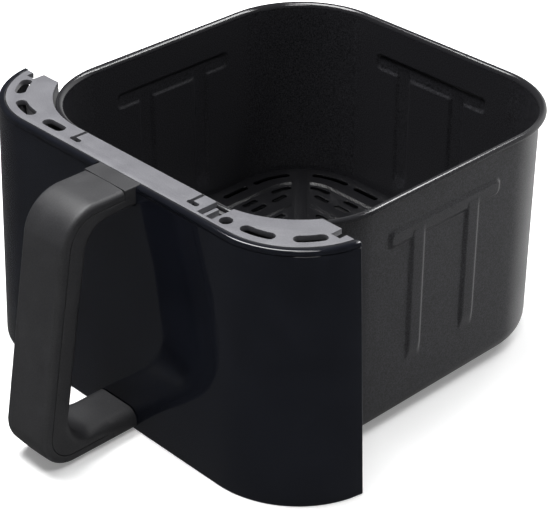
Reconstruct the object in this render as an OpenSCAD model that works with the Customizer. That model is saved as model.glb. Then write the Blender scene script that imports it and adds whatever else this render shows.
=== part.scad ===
// Removable drawer of a square air fryer: a drawn steel pan with a lift-out crisper plate,
// hung on a moulded front with a loop handle. Millimetres, +Z up, handle towards -Y.
// The origin is the centre of the flat pad that the pan stands on.

/* [Pan] */
// Outer width and depth of the square pan, across its walls
pan_size = 219; // [170:1:265]
// Radius of the pan's upright corners, outside the wall
pan_corner_r = 53; // [36:1:66]
// Thickness of the drawn sheet
pan_t = 1; // [0.8:0.1:1.5]
// Height of the top of the rolled rim
rim_top = 148; // [120:0.1:185]
// Diameter of the rolled rim
rim_d = 3.5; // [2.6:0.1:5]
// How far the rolled rim stands out past the wall
rim_out = 3.8; // [2.2:0.1:4.2]
// Height of the outer floor above the surface that the drawer stands on
floor_rise = 3.5; // [2:0.1:6]
// Radius between the floor and the walls
floor_r = 14; // [9:0.5:20]
// Width of the flat pad pressed down in the floor
pad_size = 136; // [100:1:150]
// Corner radius of the flat pad
pad_r = 30; // [15:1:45]

/* [Wall beads] */
// Length of the level bead on each wall
bead_bar_l = 88; // [50:1:98]
// Width of the level bead
bead_bar_w = 11; // [6:0.5:13]
// Width of each upright bead
bead_stem_w = 12; // [7:0.5:14]
// Distance between the two upright beads
bead_stem_gap = 43; // [30:0.2:55]
// Height of the top of the beads above the base
bead_top = 126.8; // [95:0.1:130]
// Height of the lower end of the upright beads
bead_low = 38; // [25:0.5:60]
// How far a bead stands out of the wall
bead_h = 1.5; // [0.8:0.1:2]

/* [Crisper plate] */
// Height of the top of the plate
plate_top = 34; // [28:0.5:45]
// Thickness of the plate
plate_t = 1.2; // [1:0.1:2]
// Gap from the plate's edge to the pan wall, which the silicone bumpers take up
plate_gap = 3.6; // [2.4:0.1:4.2]
// Height of the turned-down edge of the plate
plate_skirt = 8; // [5:0.5:10]
// Distance from one ring of the pattern to the next
ring_pitch = 8.2; // [7:0.1:10]
// Width of a slot
slot_w = 3.8; // [3:0.1:4.5]
// Length of a slot in the outer ring
slot_l = 20; // [14:0.5:24]
// Length of a slot in the other rings
slot_short_l = 12; // [9:0.5:16]
// Metal left between two slots of a ring
slot_land = 5.8; // [4:0.1:9]
// Height of the raised ribs between the slots
rib_h = 1.2; // [0.5:0.1:1.5]
// Width of a rib at its foot
rib_w = 4.4; // [3:0.1:5]
// Width of the low ridge on each diagonal of the plate
spoke_w = 7.4; // [5:0.1:9]
// Height of that ridge
spoke_h = 0.6; // [0.3:0.1:1]
// Diameter of a leg of the plate
leg_d = 9; // [6:0.5:14]
// Length of a silicone bumper along the plate's edge
bumper_l = 26; // [16:1:40]
// Gap between a bumper and the pan wall
bumper_gap = 0.4; // [0.3:0.05:0.8]

/* [Moulded front] */
// Gap from the pan's rim to the outside of the front, at the top
front_gap = 20.7; // [17:0.1:30]
// The same gap at the sides
side_gap = 21.3; // [17:0.1:30]
// Radius of the front's two upright corners, at the top
front_corner_r = 52.4; // [42:0.2:62]
// How far the front stands out further at its foot than at its top
flare = 6; // [2:0.5:9]
// Height of the front above the top of the rim
front_rise = 3.2; // [0.5:0.1:5]
// How far the sides of the front reach back from its face, at the top
side_reach = 44.2; // [36:0.2:50]
// Thickness of the front, gloss skin included
front_t = 3.6; // [3:0.1:5]
// Thickness of the gloss skin
skin_t = 1.6; // [1:0.1:2]
// Height of the rounded lip above the gloss skin
lip_h = 2.8; // [2:0.1:5]
// Open line between the lip and the skin
skin_line = 0.3; // [0.2:0.05:0.6]
// Glue line behind the skin
glue_line = 0.1; // [0.05:0.05:0.2]
// Thickness of the base cover
base_t = 2; // [1.5:0.1:3]
// Height of the base cover above the surface that the drawer stands on
base_rise = 1; // [0.9:0.1:2]

/* [Trim and frame] */
// Thickness of the trim's top
trim_t = 3; // [2:0.1:4]
// Depth of the trim's turned-down inner edge at its two ends
trim_skirt = 9; // [5:0.5:12]
// Open line between the trim and the lip
trim_line = 0.5; // [0.3:0.1:1]
// Gap between the pan's rim and the trim
rim_gap = 1.2; // [0.8:0.1:3]
// Distance of the vent slots' centre line from the outside of the front
vent_inset = 11.9; // [10.5:0.1:13]
// Width of a vent slot
vent_w = 6.4; // [4:0.1:7]
// Wall of the inner frame
frame_t = 2.4; // [1.8:0.1:3]
// Height of the ledge that the trim is screwed to, below the trim
ledge_drop = 16; // [13:0.5:22]
// Thickness of the ledge and of the foot flange
ledge_t = 2.2; // [1.6:0.1:3]
// Diameter of the trim's screw bosses
boss_d = 6.8; // [6.2:0.1:7.4]

/* [Handle] */
// Width of the handle
handle_w = 33; // [26:0.5:40]
// Horizontal thickness of the grip
grip_t = 17.8; // [14:0.2:22]
// Height of the two arms
arm_h = 11.7; // [10:0.1:15]
// Distance from the front to the outside of the grip, at the top of the handle
grip_out = 45; // [38:0.5:56]
// Lean of the grip, in degrees
grip_lean = 10.5; // [6:0.5:12]
// Height of the underside of the handle
handle_rise = 1.8; // [1:0.1:3]
// Outer radius of the handle's top bend
bend_top_r = 25; // [18:0.5:28]
// Outer radius of the handle's bottom bend
bend_low_r = 19.6; // [16:0.2:22]
// Radius of both bends inside the loop
loop_r = 16; // [10:0.5:18]
// Depth of the outer cover, from the outside to the seam
cover_t = 5.6; // [4:0.1:7]
// Wall of the two hollow halves of the handle
handle_wall = 2.6; // [2:0.1:3.5]
// Distance of the cover's top end from the front
cover_top_gap = 7; // [4:0.5:12]
// Distance of the cover's bottom end from the front, at the top of the handle
cover_low_gap = 22.5; // [15:0.5:30]
// Height of the backing plate
backing_h = 13; // [11:0.5:18]
// Thickness of the backing plate
backing_t = 1.5; // [1:0.1:2.5]

/* [Bracket and shield] */
// Width of the bracket's crown
bracket_w = 90; // [70:1:110]
// Height of the bracket
bracket_h = 74; // [50:1:85]
// Height of the bracket's lower edge
bracket_low = 46; // [36:1:55]
// Width of each welded flange of the bracket
bracket_flange = 14; // [10:0.5:20]
// Sheet of the bracket
bracket_t = 1.2; // [1:0.1:1.6]
// Width of the heat shield
shield_w = 130; // [120:1:150]
// Height of the heat shield
shield_h = 106; // [98:1:112]
// Height of the heat shield's lower edge
shield_low = 17; // [10:1:22]
// Sheet of the heat shield
shield_t = 0.6; // [0.5:0.1:1]

/* [Screws] */
// Diameter of the screws
screw_d = 4; // [3:0.1:4]
// Diameter of the screw heads
head_d = 7; // [5.6:0.1:7]
// Height of the screw heads
head_h = 2.1; // [1.6:0.1:2.2]
// Radial clearance of a screw in its hole
screw_fit = 0.05; // [0.02:0.01:0.1]

/* [Hidden] */
BUMPERS = [for (side = [1:4]) str("plate_bumper_", side)];
$fn = 96;
cut = 1;
far = 600;

// Pan
pan_half = pan_size / 2;
rim_half = pan_half + rim_out;
rim_corner_r = pan_corner_r + rim_out;
floor_top = floor_rise + pan_t;
inner_half = pan_half - pan_t;

// Crisper plate
plate_half = inner_half - plate_gap;
plate_r = pan_corner_r - pan_t - plate_gap;
clip_gap = 0.05;
bumper_out = plate_gap - bumper_gap;
bumper_t = 1.6;
row_margin = 12;
rib_shift = 1.9;
rib_break = 11.5;
rib_least_r = 5;
spoke_start = 45;
spoke_end = 124;
OUTER_RING = 0;
SECOND_RING = 2;
OUTER_TURN = 32;
SECOND_TURN = 26;
RINGS_OF_SLOTS = [0, 2, 3, 5, 6, 8, 9];
RINGS_OF_RIBS = [1, 4, 7];
plate_corner = plate_half - plate_r;
function ring_half(k) = plate_half - ring_pitch * (k + 1);
function row_slot_l(k) = k == OUTER_RING ? slot_l : slot_short_l;
function row_reach(k) = k == OUTER_RING ? plate_corner - 7.4
    : k == SECOND_RING ? plate_corner - 13.4 : ring_half(k) - row_margin;
leg_at = pad_size / 2 + leg_d / 2 + 3;

// Front: its outline is set at the top, and it flares out towards its foot
top_z = rim_top + front_rise;
front_y = rim_half + front_gap;
front_half = rim_half + side_gap;
corner_x = front_half - front_corner_r;
corner_y = front_corner_r - front_y;
front_end = side_reach - front_y;
function flare_at(z) = flare * (top_z - z) / top_z;
function inside_inset(z) = front_t - flare_at(z);

// Trim and frame
trim_inset = front_t + trim_line;
trim_low = top_z - trim_t;
trim_inner_half = rim_half + rim_gap;
skirt_t = 1.2;
skirt_from = corner_x - 8;
frame_half = rim_half + head_h + 0.5;
frame_r = rim_corner_r + frame_half - rim_half;
frame_out = frame_half + frame_t;
ledge_top = trim_low - ledge_drop;
flange_low = base_rise + base_t;
flange_top = flange_low + ledge_t;
vent_r = front_corner_r - vent_inset;
trim_end = front_end + 1.8;
tongue_end = front_end - 1;
VENTS = [[5.5, 24.5], [45.5, 61.5]];
boss_angle = 35;
trim_mid_y = -(trim_inner_half + front_y - trim_inset) / 2;
boss_row_x = trim_inner_half * 0.22 + 5;
TRIM_BOSSES = [
    [-boss_row_x, trim_mid_y],
    [boss_row_x, trim_mid_y],
    [-corner_x - vent_r * sin(boss_angle), corner_y - vent_r * cos(boss_angle)],
    [corner_x + vent_r * sin(boss_angle), corner_y - vent_r * cos(boss_angle)]
];
relief_x = trim_inner_half * 0.41;
relief_w = 2.2;
hook_w = 3.2;
hook_l = 8;
relief_l = front_y - trim_inset - trim_inner_half - 6;
side_slot_l = 16.5;
side_slot_x = corner_x - 16.8;
eye_x = corner_x - 8.6;
eye_y = vent_inset - 1.6 - front_y;
eye_d = 7.2;
tab_x = trim_inner_half * 0.5 - 0.5;
tab_well_w = 11.3;
tab_well_back = -(front_y - trim_inset - 1.8);
end_notch_x = front_half - 16.3;
end_notch_w = 6;
end_notch_depth = 7.5;

// Base cover and its screws
base_in = inside_inset(flange_top) + 0.4;
base_mid_y = -(frame_out + front_y - base_in) / 2;
BASE_SCREWS = [
    [-boss_row_x, base_mid_y],
    [boss_row_x, base_mid_y],
    [-corner_x - vent_r * sin(boss_angle), corner_y - vent_r * cos(boss_angle)],
    [corner_x + vent_r * sin(boss_angle), corner_y - vent_r * cos(boss_angle)]
];
base_head_h = base_rise - 0.1;
base_screw_l = 6;
hole_d = screw_d + 2 * screw_fit;
front_hole_d = hole_d + 0.5;

blend_step = 0.04;
tab_from_side = 3.7;
tab_t = 2.4;
tray_t = 1.6;
tray_rise = ledge_drop - 2;

// Handle: a loop in the YZ plane, with y measured outwards from the front's top edge
lean = tan(grip_lean);
function grip_face(z, depth) = grip_out - depth + lean * (top_z - z);
root_low = top_z - arm_h;
arm_top = handle_rise + arm_h;
turn_top = 90 - grip_lean;
turn_low = 90 + grip_lean;
stub_w = 24;
stub_top = trim_low - 0.4;
notch_gap = 0.5;
top_screw_z = (root_low + stub_top) / 2;
top_screw_l = 22;
handle_screw_x = 8;
low_screw_z = arm_top - head_d / 2 - 0.9;
low_screw_l = 18;
backing_low = flange_top + 0.4;
backing_face = -(front_y - inside_inset(backing_low + backing_h)) + 0.1;

// Bracket: a hat section between the pan and the frame
crown_face = -(frame_half - 0.1);
crown_back = crown_face + bracket_t;
nut_h = 3.4;
nut_d = 9;
hole_x = bracket_w / 2 - 12;
hole_low = bracket_low + 12;
hole_high = bracket_low + bracket_h - 12;
BRACKET_HOLES = [for (x = [-hole_x, hole_x], z = [hole_low, hole_high]) [x, z]];
shield_face = -(frame_out + 0.1);
bracket_screw_end = crown_back + nut_h - 0.4;

// A square with rounded corners, centred on the origin
module rounded_square(half, r) {
    square([2 * half, 2 * (half - r)], center = true);
    square([2 * (half - r), 2 * half], center = true);
    for (x = [-1, 1], y = [-1, 1]) {
        translate([x * (half - r), y * (half - r)])
            circle(r);
    }
}

// Carries a section round a closed rounded square; section x is outwards, section y is up
module carry_round(half, r) {
    for (side = [0:3]) {
        rotate([0, 0, 90 * side]) {
            translate([half, half - r, 0])
                rotate([90, 0, 0])
                    linear_extrude(2 * (half - r))
                        children();
            translate([half - r, half - r, 0])
                rotate_extrude(angle = 90)
                    translate([r, 0])
                        children();
        }
    }
}

// Carries a section round the front, from one side's rear edge to the other's
module carry_front() {
    difference() {
        union() {
            translate([corner_x, -front_y, 0])
                rotate([0, 0, -90])
                    rotate([90, 0, 0])
                        linear_extrude(2 * corner_x)
                            children();
            translate([corner_x, corner_y, 0])
                rotate([0, 0, -90])
                    rotate_extrude(angle = 90)
                        translate([front_corner_r, 0])
                            children();
            translate([-corner_x, corner_y, 0])
                rotate([0, 0, 180])
                    rotate_extrude(angle = 90)
                        translate([front_corner_r, 0])
                            children();
        }
        translate([-far / 2, front_end, -cut])
            cube([far, far, far]);
    }
}

// The area inside the front's outline, moved in by inset, and in front of the line y = back
module front_area(inset, back) {
    r = front_corner_r - inset;
    intersection() {
        union() {
            for (x = [-corner_x, corner_x]) {
                translate([x, corner_y])
                    circle(r);
            }
            translate([-corner_x, corner_y - r])
                square([2 * corner_x, r]);
            translate([-corner_x - r, corner_y])
                square([2 * (corner_x + r), r]);
            translate([-corner_x, corner_y])
                square([2 * corner_x, r]);
        }
        translate([-far / 2, back - far])
            square([far, far]);
    }
}

// A straight slot with round ends, centred, with its length along X
module slot_shape(l, w) {
    square([l - w, w], center = true);
    for (x = [-1, 1]) {
        translate([x * (l - w) / 2, 0])
            circle(d = w, $fn = 32);
    }
}

// A curved slot with round ends about the origin, from angle a0 to a1
module arc_slot(r, w, a0, a1) {
    intersection() {
        difference() {
            circle(r + w / 2);
            circle(r - w / 2);
        }
        polygon([
            [0, 0],
            [2 * r * cos(a0), 2 * r * sin(a0)],
            [2 * r * cos(a1), 2 * r * sin(a1)]
        ]);
    }
    for (a = [a0, a1]) {
        translate([r * cos(a), r * sin(a)])
            circle(d = w - blend_step, $fn = 32);
    }
}

// A screw or a hole along +Y from the origin; the head lies behind the origin
module screw_along_y(l, d, head) {
    rotate([-90, 0, 0]) {
        cylinder(h = l, d = d);
        if (head > 0) {
            translate([0, 0, -head])
                cylinder(h = head, d = head_d);
        }
    }
}

// A hole along Y, long enough to pass any wall
module hole_along_y(y0, y1, d) {
    translate([0, y0, 0])
        rotate([-90, 0, 0])
            cylinder(h = y1 - y0, d = d);
}

// One raised bead on the +X wall, along the wall, with a round section
module wall_bead(l, w) {
    r = (w * w / 4 + bead_h * bead_h) / (2 * bead_h);
    translate([pan_half, 0, 0])
        rotate([90, 0, 0])
            linear_extrude(l, center = true)
                intersection() {
                    translate([bead_h - r, 0])
                        circle(r);
                    translate([-pan_t / 2, -w])
                        square([2 * w, 2 * w]);
                }
}

module bead_group() {
    translate([0, 0, bead_top - bead_bar_w / 2])
        wall_bead(bead_bar_l, bead_bar_w);
    stem_l = bead_top - bead_bar_w / 2 - bead_low;
    for (y = [-1, 1]) {
        translate([0, y * bead_stem_gap / 2, bead_low + stem_l / 2])
            rotate([90, 0, 0])
                wall_bead(stem_l, bead_stem_w);
    }
}

// Deep-drawn pan: wall, floor radius, rolled rim, stepped floor and three groups of beads
module pan() {
    color("#2b2b2d") {
        carry_round(pan_half, pan_corner_r) {
            union() {
                translate([-pan_t, floor_rise + floor_r])
                    square([pan_t, rim_top - rim_d / 2 - floor_rise - floor_r]);
                translate([-pan_t, rim_top - rim_d / 2 - pan_t / 2])
                    square([pan_t + rim_out - rim_d / 2, pan_t]);
                translate([rim_out - rim_d / 2, rim_top - rim_d / 2])
                    circle(d = rim_d, $fn = 48);
                translate([-floor_r, floor_rise + floor_r])
                    intersection() {
                        difference() {
                            circle(floor_r);
                            circle(floor_r - pan_t);
                        }
                        translate([0, -floor_r])
                            square([floor_r, floor_r]);
                    }
            }
        }
        translate([0, 0, floor_rise])
            linear_extrude(pan_t)
                difference() {
                    rounded_square(pan_half - floor_r, pan_corner_r - floor_r);
                    rounded_square(pad_size / 2 - pan_t, pad_r - pan_t);
                }
        linear_extrude(floor_top)
            difference() {
                rounded_square(pad_size / 2, pad_r);
                rounded_square(pad_size / 2 - pan_t, pad_r - pan_t);
            }
        linear_extrude(pan_t)
            rounded_square(pad_size / 2 - pan_t / 2, pad_r - pan_t / 2);
        for (side = [0, 90, 180]) {
            rotate([0, 0, side])
                bead_group();
        }
    }
}

// Steel hat bracket, spot-welded by its flanges to the front wall of the pan
module pan_bracket() {
    w = bracket_w / 2;
    color("silver")
        difference() {
            translate([0, 0, bracket_low])
                linear_extrude(bracket_h) {
                    translate([-w, crown_face])
                        square([2 * w, bracket_t]);
                    for (x = [-w, w - bracket_t]) {
                        translate([x, crown_face])
                            square([bracket_t, -pan_half - crown_face]);
                    }
                    for (x = [-w - bracket_flange, w - bracket_t]) {
                        translate([x, -pan_half - bracket_t])
                            square([bracket_flange + bracket_t, bracket_t]);
                    }
                }
            for (p = BRACKET_HOLES) {
                translate([p[0], 0, p[1]])
                    hole_along_y(crown_face - cut, crown_back + cut, hole_d);
            }
        }
}

// Four round weld nuts behind the bracket's crown
module bracket_nuts() {
    color("gainsboro")
        for (p = BRACKET_HOLES) {
            translate([p[0], crown_back, p[1]])
                difference() {
                    screw_along_y(nut_h, nut_d, 0);
                    hole_along_y(-cut, nut_h + cut, hole_d);
                }
        }
}

// The slots of one ring, on one side of the plate
module slot_row(k) {
    pitch = row_slot_l(k) + slot_land;
    count = max(1, floor((2 * row_reach(k) + slot_land) / pitch));
    for (i = [0:count - 1]) {
        translate([(i - (count - 1) / 2) * pitch, ring_half(k)])
            slot_shape(row_slot_l(k), slot_w);
    }
}

// The two curved slots of a ring at one corner, on either side of the diagonal
module corner_slots(k, turn) {
    translate([plate_corner, plate_corner]) {
        arc_slot(ring_half(k) - plate_corner, slot_w, 90 - turn, 90);
        arc_slot(ring_half(k) - plate_corner, slot_w, 0, turn);
    }
}

// A raised rib with sloped sides round one ring, broken at the diagonals
module plate_rib(k) {
    half = ring_half(k) - rib_shift;
    difference() {
        translate([0, 0, plate_top - plate_t / 2])
            carry_round(half, max(half - plate_corner, rib_least_r))
                polygon([
                    [-rib_w / 2, 0],
                    [rib_w / 2, 0],
                    [rib_w / 2, plate_t / 2],
                    [rib_w / 2 - rib_h, plate_t / 2 + rib_h],
                    [rib_h - rib_w / 2, plate_t / 2 + rib_h],
                    [-rib_w / 2, plate_t / 2]
                ]);
        for (angle = [45, 135]) {
            rotate([0, 0, angle])
                cube([far, rib_break, far], center = true);
        }
    }
}

// Crisper plate: slots and raised ribs in rings, a turned-down edge and four legs
module crisper_plate() {
    color("#1a1a1c") {
        translate([0, 0, plate_top - plate_t])
            linear_extrude(plate_t)
                difference() {
                    rounded_square(plate_half, plate_r);
                    for (side = [0:3]) {
                        rotate(90 * side) {
                            for (k = RINGS_OF_SLOTS) {
                                slot_row(k);
                            }
                            corner_slots(OUTER_RING, OUTER_TURN);
                            corner_slots(SECOND_RING, SECOND_TURN);
                        }
                    }
                    circle(d = slot_l);
                }
        translate([0, 0, plate_top - plate_skirt])
            linear_extrude(plate_skirt)
                difference() {
                    rounded_square(plate_half, plate_r);
                    rounded_square(plate_half - plate_t, plate_r - plate_t);
                }
        for (k = RINGS_OF_RIBS) {
            plate_rib(k);
        }
        for (side = [0:3]) {
            rotate([0, 0, 45 + 90 * side])
                translate([spoke_start, -spoke_w / 2, plate_top - plate_t / 2])
                    cube([spoke_end - spoke_start, spoke_w, plate_t / 2 + spoke_h]);
        }
        for (x = [-1, 1], y = [-1, 1]) {
            translate([x * leg_at, y * leg_at, floor_top])
                cylinder(h = plate_top - plate_t - floor_top, d = leg_d);
        }
    }
}

// Silicone bumper clipped over the turned-down edge, at the middle of one side
module plate_bumper(side) {
    edge_low = plate_top - plate_skirt;
    in_y = plate_half - plate_t - clip_gap - bumper_t;
    bumper_h = bumper_t + plate_skirt - plate_t - clip_gap;
    color("#303033")
        rotate([0, 0, 90 * side])
            translate([-bumper_l / 2, 0, 0])
                difference() {
                    translate([0, in_y, edge_low - bumper_t])
                        cube([bumper_l, plate_half + bumper_out - in_y, bumper_h]);
                    translate([-cut, in_y + bumper_t, edge_low - clip_gap])
                        cube([bumper_l + 2 * cut, plate_t + 2 * clip_gap, plate_skirt]);
                }
}

// The space that the handle's root needs in the top of the front
module root_notch() {
    w = handle_w + 2 * notch_gap;
    translate([-w / 2, -front_y - far / 2, root_low - notch_gap])
        cube([w, far / 2 + front_t + trim_line, far]);
}

// Clearance holes for the two lower handle screws
module low_screw_holes(d) {
    for (x = [-handle_screw_x, handle_screw_x]) {
        translate([x, 0, low_screw_z])
            hole_along_y(-front_y - flare - low_screw_l, -front_y + front_t + cut, d);
    }
}

// Moulded front: a lip at the top, and a wall that carries the gloss skin
module front_shell() {
    skin_back = skin_t + glue_line;
    color("#101013")
        difference() {
            carry_front()
                polygon([
                    [-front_t, top_z],
                    [0, top_z],
                    [flare_at(top_z - lip_h), top_z - lip_h],
                    [flare_at(top_z - lip_h) - skin_back, top_z - lip_h],
                    [flare - skin_back, 0],
                    [flare - front_t, 0]
                ]);
            root_notch();
            low_screw_holes(front_hole_d);
        }
}

// Gloss skin glued to the front
module gloss_skin() {
    skin_top = top_z - lip_h - skin_line;
    color("#0c0c10")
        difference() {
            carry_front()
                polygon([
                    [flare_at(skin_top) - skin_t, skin_top],
                    [flare_at(skin_top), skin_top],
                    [flare, 0],
                    [flare - skin_t, 0]
                ]);
            root_notch();
            low_screw_holes(front_hole_d);
        }
}

// A hooked relief slot that opens into the trim's inner edge
module relief_slot() {
    translate([-relief_w / 2, -trim_inner_half - relief_l])
        square([relief_w, relief_l + cut]);
    translate([(hook_l - hook_w) / 2, -trim_inner_half - relief_l])
        slot_shape(hook_l, hook_w);
}

// Grey trim on top of the front, between the lip and the pan
module top_trim() {
    color("#8f8f94") {
        translate([0, 0, trim_low])
            linear_extrude(trim_t)
                difference() {
                    front_area(trim_inset, trim_end);
                    rounded_square(trim_inner_half, rim_corner_r + rim_gap);
                    for (side = [-1, 1]) {
                        mirror([side < 0 ? 1 : 0, 0])
                            translate([corner_x, corner_y])
                                for (v = VENTS) {
                                    arc_slot(vent_r, vent_w, v[0] - 90, v[1] - 90);
                                }
                        translate([side * (end_notch_x + end_notch_w / 2), trim_end - end_notch_depth + far / 2])
                            square([end_notch_w, far], center = true);
                        translate([side * (end_notch_x + far / 2), tongue_end + far / 2])
                            square([far, far], center = true);
                        translate([side * relief_x, 0])
                            relief_slot();
                    }
                    translate([-side_slot_x, vent_inset - front_y])
                        slot_shape(side_slot_l, vent_w + 0.4);
                    translate([eye_x, eye_y])
                        circle(d = eye_d, $fn = 32);
                    translate([tab_x, tab_well_back])
                        square([tab_well_w, far]);
                }
        translate([0, 0, trim_low - trim_skirt])
            linear_extrude(trim_skirt + trim_t / 2)
                intersection() {
                    difference() {
                        edge = trim_inner_half + blend_step;
                        corner = rim_corner_r + rim_gap + blend_step;
                        rounded_square(edge + skirt_t, corner + skirt_t);
                        rounded_square(edge, corner);
                        square([2 * skirt_from, far], center = true);
                    }
                    front_area(trim_inset, trim_end - blend_step);
                }
        for (p = TRIM_BOSSES) {
            translate([p[0], p[1], ledge_top])
                difference() {
                    cylinder(h = ledge_drop + trim_t / 2, d = boss_d);
                    translate([0, 0, -cut])
                        cylinder(h = ledge_drop, d = hole_d);
                }
        }
    }
}

// Upright tab that works the appliance's door switch, on a small tray below the trim
module switch_tab() {
    gap = 0.3;
    depth = -tab_well_back - frame_out;
    color("#8a8a8f")
        translate([tab_x + gap, tab_well_back + gap, ledge_top]) {
            for (level = [0, tray_rise]) {
                translate([0, 0, level])
                    cube([tab_well_w - 2 * gap, depth - 2 * gap, tray_t]);
            }
            translate([tab_from_side, 0, 0])
                cube([tab_t, depth - 2 * gap, ledge_drop + trim_t]);
        }
}

// Inner frame: a wall round the front of the pan, a ledge under the trim and a foot flange
module inner_frame() {
    color("#3a3a3d")
        difference() {
            union() {
                translate([0, 0, flange_low])
                    linear_extrude(trim_low - flange_low)
                        intersection() {
                            difference() {
                                rounded_square(frame_out, frame_r + frame_t);
                                rounded_square(frame_half, frame_r);
                            }
                            front_area(trim_inset, front_end);
                        }
                for (level = [[ledge_top - ledge_t, trim_inset + 0.5], [flange_low, base_in]]) {
                    translate([0, 0, level[0]])
                        linear_extrude(ledge_t)
                            difference() {
                                front_area(level[1], front_end);
                                rounded_square(frame_half + frame_t / 2, frame_r + frame_t / 2);
                            }
                }
            }
            for (p = TRIM_BOSSES) {
                translate([p[0], p[1], ledge_top - ledge_t - cut])
                    cylinder(h = ledge_t + 2 * cut, d = hole_d);
            }
            for (p = BASE_SCREWS) {
                translate([p[0], p[1], flange_low - cut])
                    cylinder(h = ledge_t + 2 * cut, d = hole_d);
            }
            for (p = BRACKET_HOLES) {
                translate([p[0], 0, p[1]])
                    hole_along_y(-frame_out - cut, -frame_half + cut, hole_d);
            }
            for (x = [-handle_screw_x, handle_screw_x]) {
                translate([x, 0, top_screw_z])
                    hole_along_y(-frame_out - cut, -frame_half + cut, hole_d);
            }
        }
}

// Bright sheet that keeps the pan's heat from the moulded front
module heat_shield() {
    color("silver")
        difference() {
            translate([-shield_w / 2, shield_face - shield_t, shield_low])
                cube([shield_w, shield_t, shield_h]);
            for (p = BRACKET_HOLES) {
                translate([p[0], 0, p[1]])
                    hole_along_y(shield_face - shield_t - cut, shield_face + cut, hole_d);
            }
        }
}

// Cover that closes the foot of the front
module base_cover() {
    color("#1c1c1f")
        translate([0, 0, base_rise])
            linear_extrude(base_t)
                difference() {
                    front_area(inside_inset(flange_low) + 0.4, front_end);
                    rounded_square(frame_half, frame_r);
                    for (p = BASE_SCREWS) {
                        translate([p[0], p[1]])
                            circle(d = hole_d);
                    }
                }
}

// Side view of the handle's outline, moved in by depth; x is outwards, y is up
module loop_area(top, low, r_top, r_low, depth) {
    t_top = r_top * tan(turn_top / 2);
    t_low = r_low * tan(turn_low / 2);
    face_top = grip_face(top, depth);
    face_low = grip_face(low, depth);
    polygon([
        [-far, low],
        [face_low - t_low, low],
        [face_low - t_low * sin(grip_lean), low + t_low * cos(grip_lean)],
        [face_top + t_top * sin(grip_lean), top - t_top * cos(grip_lean)],
        [face_top - t_top, top],
        [-far, top]
    ]);
    translate([face_top - t_top, top - r_top])
        circle(r_top - blend_step);
    translate([face_low - t_low, low + r_low])
        circle(r_low - blend_step);
}

// The handle's outline moved in evenly by d, so that its bends keep their centres
module handle_outline(d) {
    loop_area(top_z - d, handle_rise + d, bend_top_r - d, bend_low_r - d, d / cos(grip_lean));
}

// The open loop inside the handle, made larger evenly by d
module loop_hole(d) {
    loop_area(root_low + d, arm_top - d, loop_r + d, loop_r + d, grip_t - d / cos(grip_lean));
}

// Turns a side view into a solid of width w, centred on the handle
module across(w) {
    translate([w / 2, -front_y, 0])
        rotate([0, 0, -90])
            rotate([90, 0, 0])
                linear_extrude(w)
                    children();
}

// The part of the side view where the cover lies
module cover_zone() {
    translate([cover_top_gap, top_z / 2])
        square([far, far]);
    translate([cover_low_gap, -far])
        square([far, far + top_z / 2 + cut]);
}

// The part of the side view outside the front's face
module outside_zone() {
    polygon([
        [0, top_z + cut],
        [0, top_z],
        [flare, 0],
        [flare, -cut],
        [far, -cut],
        [far, top_z + cut]
    ]);
}

// Inner half of the handle, hollow towards the cover, with its root in the front's notch
module handle_inner() {
    color("#3b3b3d")
        difference() {
            union() {
                across(handle_w)
                    difference() {
                        intersection() {
                            handle_outline(0);
                            outside_zone();
                        }
                        loop_hole(0);
                        difference() {
                            cover_zone();
                            handle_outline(cover_t);
                        }
                    }
                translate([-handle_w / 2, -front_y - cut / 2, root_low])
                    cube([handle_w, trim_inset - 0.1 + cut / 2, arm_h]);
                translate([-stub_w / 2, -front_y, root_low])
                    cube([stub_w, front_y - frame_out - 0.1, stub_top - root_low]);
            }
            across(handle_w - 2 * handle_wall)
                difference() {
                    intersection() {
                        handle_outline(cover_t - cut);
                        translate([cover_low_gap + handle_wall, -far / 2])
                            square([far, far]);
                    }
                    loop_hole(handle_wall);
                }
            for (x = [-handle_screw_x, handle_screw_x]) {
                translate([x, 0, top_screw_z])
                    hole_along_y(-frame_half - top_screw_l, -frame_half, hole_d);
            }
            low_screw_holes(hole_d);
        }
}

// Outer cover of the handle, hollow towards the inner half
module handle_cover() {
    seam = 0.1;
    color("#404042")
        difference() {
            across(handle_w)
                intersection() {
                    difference() {
                        handle_outline(0);
                        handle_outline(cover_t - seam);
                    }
                    translate([seam, 0])
                        cover_zone();
                }
            across(handle_w - 2 * handle_wall)
                intersection() {
                    handle_outline(handle_wall);
                    translate([cover_low_gap + handle_wall, -far / 2])
                        square([far, far]);
                }
        }
}

// Steel plate behind the front that spreads the load of the handle's lower arm
module handle_backing_plate() {
    color("silver")
        difference() {
            translate([-handle_w / 2, backing_face, backing_low])
                cube([handle_w, backing_t, backing_h]);
            low_screw_holes(hole_d);
        }
}

// Two screws from inside the frame into the handle's root
module handle_top_screws() {
    color("dimgray")
        for (x = [-handle_screw_x, handle_screw_x]) {
            translate([x, -frame_half, top_screw_z])
                rotate([0, 0, 180])
                    screw_along_y(top_screw_l - cut, screw_d, head_h);
        }
}

// Two screws through the backing plate and the front into the lower arm
module handle_bottom_screws() {
    color("dimgray")
        for (x = [-handle_screw_x, handle_screw_x]) {
            translate([x, backing_face + backing_t, low_screw_z])
                rotate([0, 0, 180])
                    screw_along_y(low_screw_l, screw_d, head_h);
        }
}

// Four screws that clamp the shield and the frame to the pan's bracket
module bracket_screws() {
    start = shield_face - shield_t;
    color("dimgray")
        for (p = BRACKET_HOLES) {
            translate([p[0], start, p[1]])
                screw_along_y(bracket_screw_end - start, screw_d, head_h);
        }
}

// Four screws up through the ledge into the trim's bosses
module trim_screws() {
    color("dimgray")
        for (p = TRIM_BOSSES) {
            translate([p[0], p[1], ledge_top - ledge_t - head_h]) {
                cylinder(h = head_h, d = head_d);
                cylinder(h = head_h + ledge_t + ledge_drop / 2, d = screw_d);
            }
        }
}

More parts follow.
